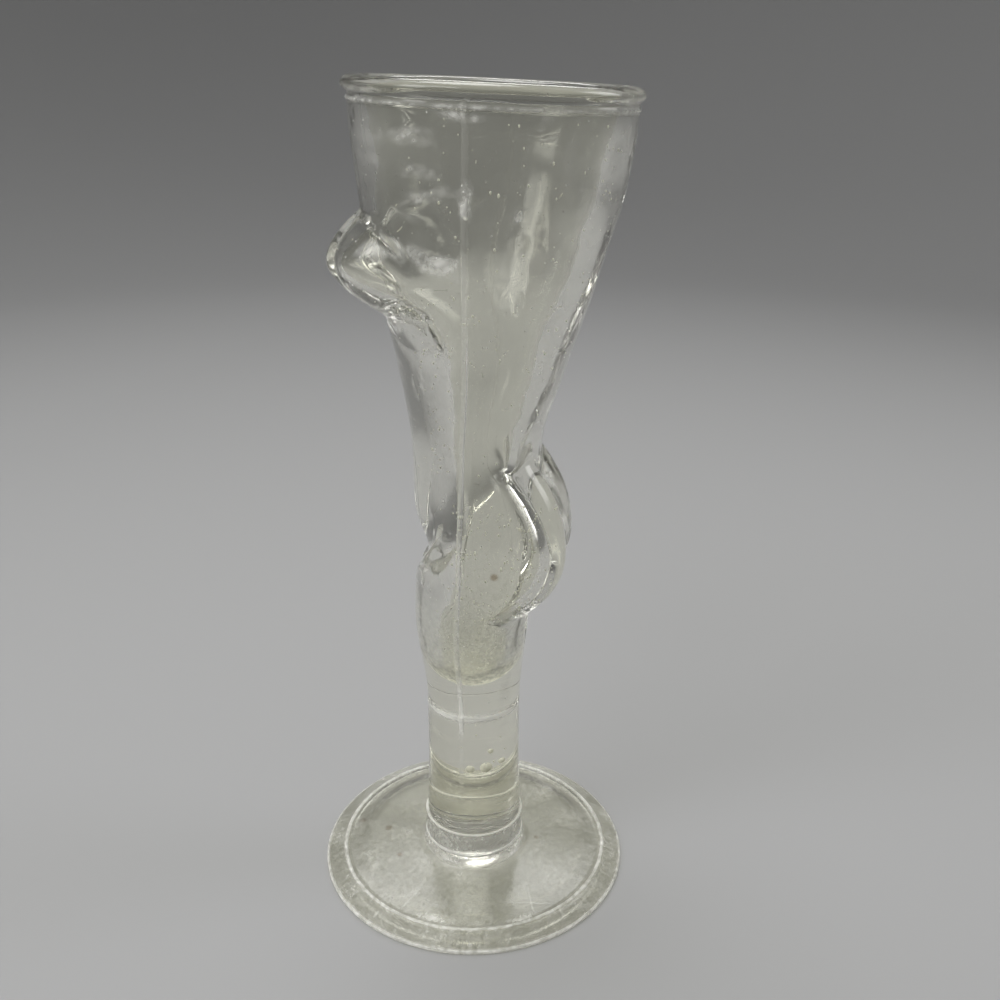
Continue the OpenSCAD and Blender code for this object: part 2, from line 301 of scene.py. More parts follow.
# How far apart the noise fields of two seeds lie, and the least length of a normal
NOISE_STEP = 17.3
TINY = 1e-12


def noise_at(points, scale, seed):
    """Smooth noise from -1 to 1 at points, with features about as large as scale, which may differ by axis"""
    q = points.reshape(-1, 3) / np.asarray(scale, float) + seed * NOISE_STEP
    values = np.fromiter((noise.noise(p) for p in q), float, len(q))
    return values.reshape(points.shape[:-1])


def patchy(values, patches):
    """Noise made into patches, from their mean, the noise's share, and their least and largest value"""
    mean, share, least, largest = patches
    return np.clip(mean + share * values, least, largest)


def pushed(rings, height):
    """A stack of rings moved outwards along its own normals"""
    along = np.roll(rings, -1, axis=1) - np.roll(rings, 1, axis=1)
    across = np.gradient(rings, axis=0)
    normal = np.cross(along, across)
    normal /= np.maximum(np.linalg.norm(normal, axis=2, keepdims=True), TINY)
    return rings + normal * height[..., None]


# Rows of the bowl and the stem: beside their joint, and on each stretch away from it
JOINT_ZONE_H = 2.0
JOINT_ROWS = 12
OUTER_ROWS = 240
BEAD_ROWS = 26
CAVITY_ROWS = 160
FLOOR_ROWS = 24
STEM_ROWS = 80

# Mould seams: their heights on the figure's left and right, half width and frost
SEAM_H = (0.16, 0.08)
SEAM_HALF_W = 0.4
SEAM_FROST = 0.22
# Below this height on the bowl the seam grows whiter, down to the joint
SEAM_WHITE_H = 12.0
SEAM_WHITE = 3.0
# Where the seam grows fainter towards the rim, and the share that it keeps
SEAM_FAINT_ZONE = (71.0, 6.0)
SEAM_FAINT = 0.4

# Ring below the bead
RING_BELOW_BEAD = 0.75
RING_H = 0.16
RING_W = 0.2
RING_FROST = 0.7
RING_DASH = 1.2
RING_PATCHES = (0.6, 0.9, 0.15, 1.3)

# Rough ridge where the bowl meets the stem
JOINT_RIDGE_H = 0.42
JOINT_RIDGE_W = 0.7
JOINT_RIDGE_ANGLE = math.radians(97)
JOINT_RIDGE_REACH = math.radians(70)
JOINT_RIDGE_FROST = 1.0
JOINT_RIDGE_SCALE = 0.6
JOINT_RIDGE_PATCHES = (0.9, 0.4, 0.4, 1.2)

# Waves and grain of the skins, as heights and noise scales, and how far above the joint the waves set in
WAVE_H = 0.12
WAVE_SCALE = (6.0, 6.0, 12.0)
WAVE_ONSET_H = 6.0
PEEL_H = 0.02
PEEL_SCALE = 2.2
BEAD_WAVE_H = 0.4 * WAVE_H
BEAD_WAVE_SCALE = 5.0
CAVITY_GRAIN_H = 0.02
CAVITY_GRAIN_SCALE = 1.5
# Coarser grain at the cavity's bottom, and the height where it ends and the reach of its fade
FLOOR_GRAIN_H = 0.06
FLOOR_GRAIN_SCALE = 0.9
FLOOR_GRAIN_TOP = 22.0
FLOOR_GRAIN_FADE = 14.0
# White haze on the cavity's bottom, and the height over the well where it ends; partly real haze and partly a
# painted bright line along the bottom, where clear glass turns dark
FLOOR_HAZE_AND_PAINTED_LINE = 0.9
FLOOR_FROST_H = 2.6
# Slack that keeps the relief of the rim and the foot inside the part's own box
RIM_SLACK = 0.1
FOOT_SLACK = 0.05

# Chill marks outside: height, angle, half height, half width, slope, depth, roughness of the floor, frost
CHILL_MARKS = [
    (88.6, 65, 0.9, 3.0, 0.05, 0.12, 0.06, 0.32),
    (84.6, 70, 0.7, 2.2, 0.0, 0.1, 0.05, 0.24),
    (81.6, 72, 0.8, 2.8, 0.25, 0.12, 0.05, 0.32),
    (79.1, 66, 0.6, 1.6, 0.1, 0.1, 0.02, 0.12),
    (91.2, 87, 0.5, 2.6, -0.08, 0.08, 0.14, 0.6),
    (81.0, 88.5, 1.7, 0.8, 0.0, 0.05, 0.12, 0.75),
    (79.8, 109, 0.6, 0.5, 0.0, 0.1, 0.05, 0.9),
    (73.3, 73.5, 1.35, 2.9, -0.15, 0.1, 0.22, 0.8),
    (86.0, 128, 3.5, 0.9, 0.0, 0.08, 0.02, 0.1),
    (80.0, 137, 4.5, 0.8, 0.0, 0.08, 0.02, 0.12),
    (72.5, 126, 3.0, 0.9, 0.3, 0.06, 0.02, 0.1),
    (84.0, 250, 0.8, 2.6, 0.1, 0.1, 0.03, 0.15),
    (78.0, 285, 0.9, 2.4, -0.2, 0.1, 0.03, 0.15),
]
# Noise on their floors, in their frost and along their ragged outlines
CHILL_ROUGH_SCALE = 0.8
CHILL_PATCHES = (0.8, 1.0, 0.2, 1.2)
CHILL_RAGGED_SCALE = 1.7
CHILL_RAGGED = 0.5


def chill_relief(points, h, t):
    """Relief and frost of the shallow dents where the hot glass first touched the mould"""
    relief = np.zeros(points.shape[:2])
    frost = np.zeros(points.shape[:2])
    rough = noise_at(points, CHILL_ROUGH_SCALE, seed=11)
    ragged = 1 + CHILL_RAGGED * noise_at(points, CHILL_RAGGED_SCALE, seed=16)
    for mark_h, mark_t, half_h, half_w, slope, depth, roughness, white in CHILL_MARKS:
        along = (t - math.radians(mark_t)) * size_at(h, WIDTH) / 2
        up = h - mark_h - slope * along
        mask = np.exp(-((ragged * along / half_w) ** 4) - (ragged * up / half_h) ** 4)
        relief += mask * (roughness * rough - depth)
        frost += mask * white * patchy(rough, CHILL_PATCHES)
    return relief, frost


def seam(r):
    """Flat-topped ridges of the two mould seams along the columns, at radius r"""
    away = [np.abs(COLUMNS - angle) * r / SEAM_HALF_W for angle in SEAM_ANGLES]
    return sum(height * np.exp(-(d**6)) for d, height in zip(away, SEAM_H))


def joint_ridge(points, up, t):
    """The rough ridge where the bowl meets the stem, from 0 to about 1, on the figure's left side only"""
    there = np.exp(-(((t - JOINT_RIDGE_ANGLE) / JOINT_RIDGE_REACH) ** 6))
    scallop = patchy(noise_at(points, JOINT_RIDGE_SCALE, seed=3), JOINT_RIDGE_PATCHES)
    return there * scallop * bell(up / JOINT_RIDGE_W)


def outside_rings():
    """Rings of the bowl's outside from the joint up to the bead, with their relief and frost"""
    near_joint = np.linspace(0, JOINT_ZONE_H, JOINT_ROWS)[:-1]
    h = np.concatenate((near_joint, np.linspace(JOINT_ZONE_H, NECK_H, OUTER_ROWS)))[:, None]
    t = drifted(h)
    rings = outer_skin(h, t)
    waves = WAVE_H * noise_at(rings, WAVE_SCALE, seed=1) + PEEL_H * noise_at(rings, PEEL_SCALE, seed=2)
    marks, frost = chill_relief(rings, h, t)
    seams = seam(size_at(h, WIDTH) / 2)
    ring = bell((h - NECK_H + RING_BELOW_BEAD) / RING_W)
    ridge = joint_ridge(rings, h, t)
    trim = marks + seams + RING_H * ring + JOINT_RIDGE_H * ridge
    relief = waves * smooth(h / WAVE_ONSET_H) + trim
    whiter = 1 + (SEAM_WHITE - 1) * (1 - smooth(h / SEAM_WHITE_H))
    whiter -= (1 - SEAM_FAINT) * fade_in(h, SEAM_FAINT_ZONE)
    frost += SEAM_FROST * whiter * seams / SEAM_H[0] + JOINT_RIDGE_FROST * ridge
    frost += RING_FROST * ring * patchy(noise_at(rings, RING_DASH, seed=18), RING_PATCHES)
    return rings, relief, frost


def bead_rings():
    """Rings of the rim's bead, with their relief and no frost"""
    rings = bead_skin(np.linspace(BEAD_START, np.pi, BEAD_ROWS)[1:, None], COLUMNS)
    relief = BEAD_WAVE_H * noise_at(rings, BEAD_WAVE_SCALE, seed=4) - RIM_SLACK
    return rings, relief, np.zeros(relief.shape)


def cavity_rings():
    """Rings of the cavity down its wall and round its bottom, with their relief and frost"""
    wall = inner_skin(np.linspace(BEAD_CENTRE_H, CAVITY_LOW, CAVITY_ROWS)[1:, None], COLUMNS)
    cap = np.radians(np.linspace(0, 90, FLOOR_ROWS)[1:-1, None])
    bottom = inner_skin(CAVITY_LOW - FLOOR_ROUND_H * np.sin(cap), COLUMNS, np.cos(cap), CAVITY_LOW)
    rings = np.concatenate((wall, bottom))
    up = rings[..., 2] - BOWL_BASE
    low = smooth((FLOOR_GRAIN_TOP - up) / FLOOR_GRAIN_FADE)
    relief = WAVE_H * noise_at(rings, WAVE_SCALE, seed=5)
    relief += CAVITY_GRAIN_H * noise_at(rings, CAVITY_GRAIN_SCALE, seed=7)
    relief += FLOOR_GRAIN_H * low * noise_at(rings, FLOOR_GRAIN_SCALE, seed=6)
    # Whitest over the well: partly real haze, partly a painted bright line along the cavity's bottom
    frost = FLOOR_HAZE_AND_PAINTED_LINE * (1 - smooth((up - FLOOR_T) / FLOOR_FROST_H))
    return rings, relief, frost


def bowl_rings():
    """The bowl's skin: up the outside, over the bead, down the cavity and round its bottom

    Gives the rings, their frost, and how many of them lie outside and on the bead.
    """
    stretches = [outside_rings(), bead_rings(), cavity_rings()]
    rings, relief, frost = (np.concatenate(part) for part in zip(*stretches))
    outer_rows, bead_rows = (len(stretch[0]) for stretch in stretches[:2])
    return pushed(rings, relief), frost, outer_rows, bead_rows


# Rings of the foot's half section: the radius of the first, and how many lie on each stretch
HUB_R = 0.6
UNDER_ROWS = 12
REST_ROWS = 4
ARC_ROWS = 16
BAND_ROWS = 12
RIDGE_ROWS = 15
FACE_ROWS = 36
BOSS_ROWS = 26
# Run of the hollow's side for its height, gap between the last ring under the foot and the edge's arc,
# and angle where the arc ends
HOLLOW_SLOPE = 2
REST_GAP = 0.3
EDGE_ARC_END = 60
# Small edge of the boss: how far its side stays clear of both ends, and points in and down from its corner
BOSS_EDGE_H = 0.12
BOSS_EDGE = [(0.04, 0.03), (0.09, 0.0)]


def foot_profile():
    """Half section of the foot as radius and height, from the underside's middle to the rim of the joint"""
    edge = FOOT_R - FOOT_EDGE_R
    rest_in = edge - FOOT_REST_W
    band_r = FOOT_R - FOOT_BAND_W
    face_top = FOOT_FACE_H + FOOT_RISE
    fillet_r = BOSS_R + BOSS_FILLET_R
    fillet_top = face_top + BOSS_FILLET_R
    ridge_in = band_r - FOOT_RIDGE_W / 2
    ridge_out = band_r + FOOT_RIDGE_W / 2
    hollow_r = rest_in - HOLLOW_SLOPE * FOOT_HOLLOW_H
    u = np.linspace(-1, 1, RIDGE_ROWS)
    turn = np.radians(np.linspace(-90, EDGE_ARC_END, ARC_ROWS))
    rise = np.radians(np.linspace(270, 180, ARC_ROWS))
    arc = np.c_[edge + FOOT_EDGE_R * np.cos(turn), FOOT_EDGE_R * (1 + np.sin(turn))]
    parts = [
        np.linspace((HUB_R, FOOT_HOLLOW_H), (hollow_r, FOOT_HOLLOW_H), UNDER_ROWS),
        np.linspace((rest_in, 0), (edge - REST_GAP, 0), REST_ROWS),
        arc,
        np.linspace(arc[-1], (ridge_out, FOOT_FACE_H), BAND_ROWS)[1:-1],
        np.c_[band_r - u * FOOT_RIDGE_W / 2, FOOT_FACE_H + FOOT_RIDGE_H * (1 - u * u)],
        np.linspace((ridge_in, FOOT_FACE_H), (fillet_r, face_top), FACE_ROWS)[1:-1],
        np.c_[fillet_r + BOSS_FILLET_R * np.cos(rise), face_top + BOSS_FILLET_R * (1 + np.sin(rise))],
        np.linspace((BOSS_R, fillet_top + BOSS_EDGE_H), (BOSS_R, BOSS_TOP - BOSS_EDGE_H), BOSS_ROWS),
        [(BOSS_R - inward, BOSS_TOP - down) for inward, down in BOSS_EDGE],
        [(STEM_R, BOSS_TOP)],
    ]
    return np.concatenate(parts)


def revolved(r, z, t):
    """Rings of a round solid at angles t, from columns of radii and heights"""
    return np.stack(np.broadcast_arrays(r * np.sin(t), -r * np.cos(t), z), axis=-1)


# Relief of the foot: waves, grain of the face, furrows across the band, jags on the ridge, lines on the boss
FOOT_WAVE_H = 0.015
FOOT_WAVE_SCALE = 5.0
FACE_GRAIN_H = 0.01
FACE_GRAIN_SCALE = 1.1
FURROW_H = 0.01
FURROW_W = 0.45
FURROW_LENGTH = 5.0
FURROW_FROST = 0.12
FURROW_EDGE = 0.4
RIDGE_JAG_H = 0.03
RIDGE_JAG_SCALE = 0.6
RIDGE_FROST = 0.75
RIDGE_FROST_W = 0.28
RIDGE_PATCHES = (0.85, 0.5, 0.0, 2.0)
BOSS_LINE_H = (0.2, 0.12)
BOSS_LINE_W = 0.22
BOSS_LINE_FROST = (1.0, 0.7)
BOSS_FROST = 0.1
EDGE_FROST = 0.6
# Noise that breaks the painted glints beside the ridge into patches
GLINT_SCALE = 0.55
GLINT_PATCHES = (0.6, 1.6, 0.0, 1.2)
# Zones that the relief and the frost fade into: off the table, below the joint, the band from both sides,
# the face from both sides, and the edge from the inside and from below
OFF_TABLE = (0.05, 0.3)
BELOW_JOINT = (0.0, 0.5)
BAND_INNER = (0.0, 0.8)
BAND_OUTER = (0.5, 0.5)
FACE_OUTER = (0.4, 0.5)
FACE_INNER = (1.0, 1.5)
EDGE_INNER = (-0.55, 0.35)
EDGE_LOWER = (0.1, 0.2)
CREST_W = 0.5
BOSS_REACH = 0.4
JOINT_RIM_H = 0.01
# Painted glints beside the ridge, white frost patches that stand in for lamp glints on its grain: radius,
# angle, half sizes along the radius and round, frost
PAINTED_GLINT_PATCHES = [
    (20.9, 80.7, 0.6, 2.3, 0.8),
    (21.4, 120.5, 0.6, 2.0, 0.8),
]
# A lump on the band: radius and angle of its middle, half sizes along the radius and round the foot, height,
# and the depth and size of the dip in it as shares
LUMP_R = 23.9
LUMP_ANGLE = math.radians(40.5)
LUMP_HALF = (0.9, 2.0)
LUMP_H = 0.22
LUMP_DIP = 0.6
LUMP_DIP_SIZE = 0.7


def foot_rings():
    """Rings of the foot with its relief, and their frost, which also holds the painted glints beside the
    ridge
    """
    r, z = foot_profile().T[:, :, None]
    rings = revolved(r, z, FOOT_COLUMNS)
    t = np.broadcast_to(FOOT_COLUMNS, rings.shape[:2])
    flat = np.stack(np.broadcast_arrays(t * FOOT_R, r, 0.0), axis=-1)
    band_r = FOOT_R - FOOT_BAND_W

    upper = np.arange(len(r))[:, None] > np.argmax(r)
    free = fade_in(z, OFF_TABLE) * fade_in(BOSS_TOP - z, BELOW_JOINT)
    band = upper * fade_in(r - band_r, BAND_INNER) * fade_in(FOOT_R - r, BAND_OUTER)
    face = upper * fade_in(band_r - r, FACE_OUTER) * fade_in(r - BOSS_R, FACE_INNER)
    edge = fade_in(r - FOOT_R, EDGE_INNER) * fade_in(z, EDGE_LOWER)
    crest = upper * bell((r - band_r) / CREST_W)
    crest_line = upper * bell((r - band_r) / RIDGE_FROST_W)
    boss = upper * (r < BOSS_R + BOSS_REACH)
    base_line = bell((z - FOOT_FACE_H - FOOT_RISE - BOSS_FILLET_R) / BOSS_LINE_W)
    top_line = bell((z - BOSS_TOP) / BOSS_LINE_W)
    below_rim = z < BOSS_TOP - JOINT_RIM_H
    furrows = noise_at(flat, (FURROW_W, FURROW_LENGTH, 1), seed=12)
    jag = noise_at(flat, RIDGE_JAG_SCALE, seed=13)
    lump_at = np.hypot((r - LUMP_R) / LUMP_HALF[0], (t - LUMP_ANGLE) * LUMP_R / LUMP_HALF[1])
    lump = np.exp(-(lump_at**6)) - LUMP_DIP * np.exp(-((lump_at / LUMP_DIP_SIZE) ** 4))

    relief = (FOOT_WAVE_H * noise_at(rings, FOOT_WAVE_SCALE, seed=8) - FOOT_SLACK) * free
    relief += FACE_GRAIN_H * face * noise_at(rings, FACE_GRAIN_SCALE, seed=14)
    relief += FURROW_H * band * furrows + LUMP_H * band * lump
    relief += RIDGE_JAG_H * crest * jag
    relief += boss * (BOSS_LINE_H[0] * base_line + BOSS_LINE_H[1] * top_line * below_rim)

    frost = RIDGE_FROST * crest_line * patchy(jag, RIDGE_PATCHES)
    frost += FURROW_FROST * band * smooth(furrows / FURROW_EDGE)
    frost += boss * (BOSS_LINE_FROST[0] * base_line + BOSS_LINE_FROST[1] * top_line + BOSS_FROST)
    frost += EDGE_FROST * edge
    # Painted glints: white patches beside the ridge that stand in for lamp glints
    glints = patchy(noise_at(flat, GLINT_SCALE, seed=17), GLINT_PATCHES)
    for patch_r, patch_t, half_r, half_w, white in PAINTED_GLINT_PATCHES:
        around = (t - math.radians(patch_t)) * patch_r / half_w
        painted_glint = np.exp(-(around**2) - ((r - patch_r) / half_r) ** 2)
        frost += white * upper * painted_glint * glints
    return pushed(rings, relief), frost


# Waves on the stem's side, and how far from its ends they fade
STEM_WAVE_H = 0.03
STEM_WAVE_SCALE = (4, 4, 7)
STEM_WAVE_FADE = 3.0
# How far the seam runs down the stem as a solid line and the length of its taper, then its share below
# that, the zone over which that share sets in above the boss, and its dashes
STEM_SEAM_REACH = 4.6
STEM_SEAM_FADE = 3.0
STEM_SEAM_FAINT = 0.3
STEM_FAINT_ZONE = (5.0, 4.0)
STEM_DASH = 1.6
STEM_DASH_PATCHES = (0.6, 1.2, 0.2, 1.2)


def stem_rings():
    """Rings of the stem with its relief, and their frost"""
    near_joint = np.linspace(STEM_H - JOINT_ZONE_H, STEM_H, JOINT_ROWS)[1:]
    h = np.concatenate((np.linspace(0, STEM_H - JOINT_ZONE_H, STEM_ROWS), near_joint))[:, None]
    r = stem_radius(h)
    t = drifted(0.0)
    rings = revolved(r, BOSS_TOP + h, t)
    inner = smooth(h / STEM_WAVE_FADE) * smooth((STEM_H - h) / STEM_WAVE_FADE)
    dashes = patchy(noise_at(np.stack((h, h, h), axis=-1), STEM_DASH, seed=15), STEM_DASH_PATCHES)
    line = smooth((h - STEM_H + STEM_SEAM_REACH) / STEM_SEAM_FADE)
    faint = STEM_SEAM_FAINT * fade_in(h, STEM_FAINT_ZONE) * dashes
    seams = seam(r) * np.maximum(line, faint)
    ridge = joint_ridge(rings, STEM_H - h, t)
    relief = STEM_WAVE_H * noise_at(rings, STEM_WAVE_SCALE, seed=9) * inner
    relief += seams + JOINT_RIDGE_H * ridge
    frost = SEAM_WHITE * SEAM_FROST * seams / SEAM_H[0] + JOINT_RIDGE_FROST * ridge
    return pushed(rings, relief), frost


def skinned(rings, first, last):
    """Vertices and outward faces of a closed skin over a stack of rings, with a middle point at each end"""
    m, n = rings.shape[:2]
    i = np.arange(n)
    k = (i + 1) % n
    rows = np.arange(m - 1)[:, None] * n
    sides = np.stack((rows + i, rows + k, rows + k + n, rows + i + n), axis=-1).reshape(-1, 4)
    bottom = np.stack((np.full(n, m * n), k, i), axis=-1)
    top = np.stack((np.full(n, m * n + 1), (m - 1) * n + i, (m - 1) * n + k), axis=-1)
    vertices = np.concatenate((rings.reshape(-1, 3), [first, last]))
    return vertices, sides.tolist(), bottom.tolist(), top.tolist()


def ball(detail):
    """Vertices and inward faces of a unit ball, for a bubble in the glass"""
    bm = bmesh.new()
    bmesh.ops.create_icosphere(bm, subdivisions=detail, radius=1.0)
    bm.verts.ensure_lookup_table()
    vertices = np.array([v.co for v in bm.verts])
    faces = np.array([[v.index for v in reversed(f.verts)] for f in bm.faces])
    bm.free()
    return vertices, faces


def bubble_parts(bubbles, detail, start):
    """Vertices and faces of bubbles, each a centre and three half sizes, numbered from start"""
    unit, inward = ball(detail)
    vertices = np.concatenate([np.asarray(centre) + unit * half for centre, half in bubbles])
    faces = np.concatenate([inward + start + i * len(unit) for i in range(len(bubbles))])
    return vertices, faces.tolist()


# Seeds in the bowl's wall: how many, the heights and angles they lie between, least and largest radius
SEED_GROUPS = [
    (240, (19, 38), (70, 145), (0.07, 0.2)),
    (70, (42, 68), (25, 75), (0.06, 0.15)),
    (130, (14, 90), (0, 360), (0.06, 0.16)),
    (110, (58, 91), (62, 165), (0.07, 0.18)),
]
# Where they lie between the two skins, how much taller than wide they are, and how rare the large ones
SEED_DEPTH = (0.2, 0.8)
SEED_TALL = (1.0, 1.8)
SEED_SKEW = 2
SEED_DETAIL = 0


def seeds():
    """Small round and drawn-out bubbles between the bowl's two skins"""
    found = []
    for count, heights, angles, sizes in SEED_GROUPS:
        h = rng.uniform(*heights, count)
        t = np.radians(rng.uniform(*angles, count))
        share = rng.uniform(*SEED_DEPTH, count)[:, None]
        centres = share * outer_skin(h, t) + (1 - share) * inner_skin(h, t)
        r = sizes[0] + (sizes[1] - sizes[0]) * rng.uniform(0, 1, count) ** SEED_SKEW
        tall = rng.uniform(*SEED_TALL, count)
        found += [(c, (a, a, a * k)) for c, a, k in zip(centres, r, tall)]
    return found


# Camera at the photograph's place: angle round the glass, distance from its axis, height, aim and lens
CAM_AZIMUTH = math.radians(99.5)
CAM_DISTANCE = 153.44
CAM_HEIGHT = 127.63
CAM_YAW = math.radians(1.542)
CAM_PITCH = math.radians(-21.92)
CAM_ROLL = math.radians(0.423)
CAM_LENS = 38.52
CAM_SENSOR = 36.0
CAM_CLIP = 5.0


def seen(x, y, z):
    """A direction or a place given as right, away and up for the camera's side, turned into the frame"""
    return Matrix.Rotation(CAM_AZIMUTH, 3, "Z") @ Vector((x, y, z))


def add_camera():
    data = bpy.data.cameras.new("camera")
    data.lens = CAM_LENS
    data.sensor_width = CAM_SENSOR
    data.clip_start = CAM_CLIP * MM
    camera = bpy.data.objects.new("camera", data)
    aim = Matrix.Rotation(-CAM_YAW, 3, "Z") @ Matrix.Rotation(CAM_PITCH + math.pi / 2, 3, "X")
    turned = Matrix.Rotation(CAM_AZIMUTH, 3, "Z") @ aim @ Matrix.Rotation(CAM_ROLL, 3, "Z")
    place = seen(0, -CAM_DISTANCE * MM, CAM_HEIGHT * MM)
    camera.matrix_world = Matrix.Translation(place) @ turned.to_4x4()
    bpy.context.scene.collection.objects.link(camera)
    bpy.context.scene.camera = camera


# Bubbles in the stem, from the camera's side: right, away, height above the boss, half width, half height
STEM_BUBBLES = [
    (-0.5, -3.2, 10.9, 0.62, 0.68),
    (1.5, -2.6, 10.9, 0.8, 0.95),
    (2.2, -3.4, 14.4, 0.42, 0.45),
    (3.5, -2.2, 11.7, 0.55, 0.5),
    (-2.6, -3.2, 9.4, 0.15, 0.15),
    (2.6, -3.2, 12.2, 0.15, 0.16),
    (0.3, -3.2, 17.6, 0.12, 0.12),
    (0.2, -3.2, 19.8, 0.12, 0.12),
    (4.0, -2.4, 14.0, 0.12, 0.14),
    (3.4, -2.6, 16.6, 0.13, 0.13),
    (-1.6, -3.4, 15.2, 0.1, 0.1),
]
BUBBLE_DETAIL = 2


def stem_bubbles():
    found = []
    for right, away, up, half_w, half_h in STEM_BUBBLES:
        place = seen(right, away, BOSS_TOP + up)
        found.append((np.array(place), (half_w, half_w, half_h)))
    return found


# Kinds of faces, which are also the order of the materials in a mesh
SKIN, JOINT, BUBBLE, CAVITY, BEAD = 0, 1, 2, 3, 4


def made(name, vertices, faces, kinds, frost, materials):
    """A piece of the glass in metres, whose faces take the materials that kinds names by number

    frost has one row for each ring of the skin, which comes first among the vertices.
    """
    mesh = bpy.data.meshes.new(name)
    mesh.from_pydata((np.asarray(vertices) * MM).tolist(), [], faces)
    white = np.zeros(len(vertices), np.float32)
    white[: frost.size] = np.clip(frost, 0, 1).ravel()
    mesh.attributes.new("frost", "FLOAT", "POINT").data.foreach_set("value", white)
    kinds = np.asarray(kinds, np.int32)
    mesh.polygons.foreach_set("use_smooth", kinds != JOINT)
    mesh.polygons.foreach_set("material_index", kinds)
    for material in materials:
        mesh.materials.append(material)
    mesh.update()
    piece = bpy.data.objects.new(name, mesh)
    bpy.context.scene.collection.objects.link(piece)
    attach(piece, "root")
    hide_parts(name.replace("_glass", ""))
    return piece


# Tints of thin glass, thick glass, white haze and the light in a shadow, and of the brown specks
THIN_TINT = (0.975, 0.973, 0.907, 1)
THICK_TINT = (0.975, 0.968, 0.855, 1)
FROST_TINT = (0.975, 0.97, 0.91, 1)
SHADOW_TINT = (0.8, 0.8, 0.76, 1)
STAIN = (0.3, 0.2, 0.1, 1)
STAIN_SHARE = 0.9
GLASS_IOR = 1.5
# Patterns in the glass: scale and detail of their noise, the span of it that counts, and any stretch
CLOUDS = dict(scale=70, detail=5, span=(0.35, 0.75))
STREAKS = dict(scale=160, detail=4, span=(0.5, 0.8), stretch=(1, 1, 0.25))
FINE = dict(scale=1500, detail=3, span=(0.35, 0.65))
GRAIN = dict(scale=1300, detail=3, span=(0.38, 0.62))
POLISH = dict(scale=120, detail=6, span=(0.4, 0.75))
# How much of the frost and of the haze below shows in the fine pattern's low and high places
FINE_SHARE = (0.45, 1.1)
# Dust: scale of its cells, size of its dots, and the share of the cells that have one
DUST = dict(scale=1000, size=0.15, share=0.16)
# Roughness that frost adds, and the share of light that goes on through the white walls of bubbles, which are
# a painted reflection since real bubbles are clear
FROST_ROUGH = 0.5
BUBBLE_ONWARD = 0.3
# Heights on the bowl between which the haze of the cavity's bottom fades
FLOOR_HAZE_H = (3.0, 22.0)
# On its glass side that haze passes this much more of the light from above, in full up to one height over
# the well and fading up to another
FLOOR_GLOW = 0.75
FLOOR_GLOW_H = (3.0, 5.5)
# Sharp middles of specks and of dust as shares of their radius, and softness of the choice of cells
SPECK_CORE = 0.4
DUST_CORE = 0.6
CELL_EDGE = 0.05
# Scratches: half width, whiteness, and the heights between which they set in, so that only the top has them
SCRATCH_HALF_W = 0.18
SCRATCH_WHITE = 0.4
SCRATCH_H = (1.2, 1.4)
# Height of marks above the outer edge of the foot's face
MARK_RISE = 0.4


def on_foot(r, degrees):
    """A place on the foot's upper face at a radius and an angle"""
    t = math.radians(degrees)
    return Vector((r * math.sin(t), -r * math.cos(t), FOOT_FACE_H + MARK_RISE))


# Brown specks, each a place and a radius, and straight scratches from one place to another
FOOT_SPECKS = [
    (on_foot(20.5, 357), 1.0),
    (on_foot(15.3, 2.3), 0.9),
    (on_foot(13.8, 31.6), 0.8),
    (on_foot(10.9, 182.7), 0.7),
    (on_foot(8.9, 166.4), 0.7),
]
FOOT_SCRATCHES = [
    (on_foot(21.4, 65.5), on_foot(14.9, 65.4)),
    (on_foot(17.2, 114.0), on_foot(21.0, 136.4)),
    (on_foot(15.3, 133.5), on_foot(21.2, 126.4)),
]
BOWL_SPECKS = [(Vector((12.9, 5.2, 59.2)), 0.8)]


class Tree:
    """Short ways to add and join the nodes of a material or a lamp"""

    def __init__(self, owner):
        owner.use_nodes = True
        self.nodes = owner.node_tree.nodes
        self.links = owner.node_tree.links

    def add(self, kind, **values):
        node = self.nodes.new("ShaderNode" + kind)
        for key, value in values.items():
            self.put(node.inputs[key.replace("_", " ")], value)
        return node

    def put(self, socket, value):
        if isinstance(value, bpy.types.NodeSocket):
            self.links.new(value, socket)
        else:
            socket.default_value = value

    def worked_out(self, kind, operation, a, b):
        """A node that works out one operation on two values"""
        node = self.nodes.new("ShaderNode" + kind)
        node.operation = operation
        self.put(node.inputs[0], a)
        self.put(node.inputs[1], b)
        return node

    def plus(self, a, b):
        node = self.worked_out("Math", "ADD", a, b)
        node.use_clamp = True
        return node.outputs["Value"]

    def times(self, a, b, clamp=True):
        node = self.worked_out("Math", "MULTIPLY", a, b)
        node.use_clamp = clamp
        return node.outputs["Value"]


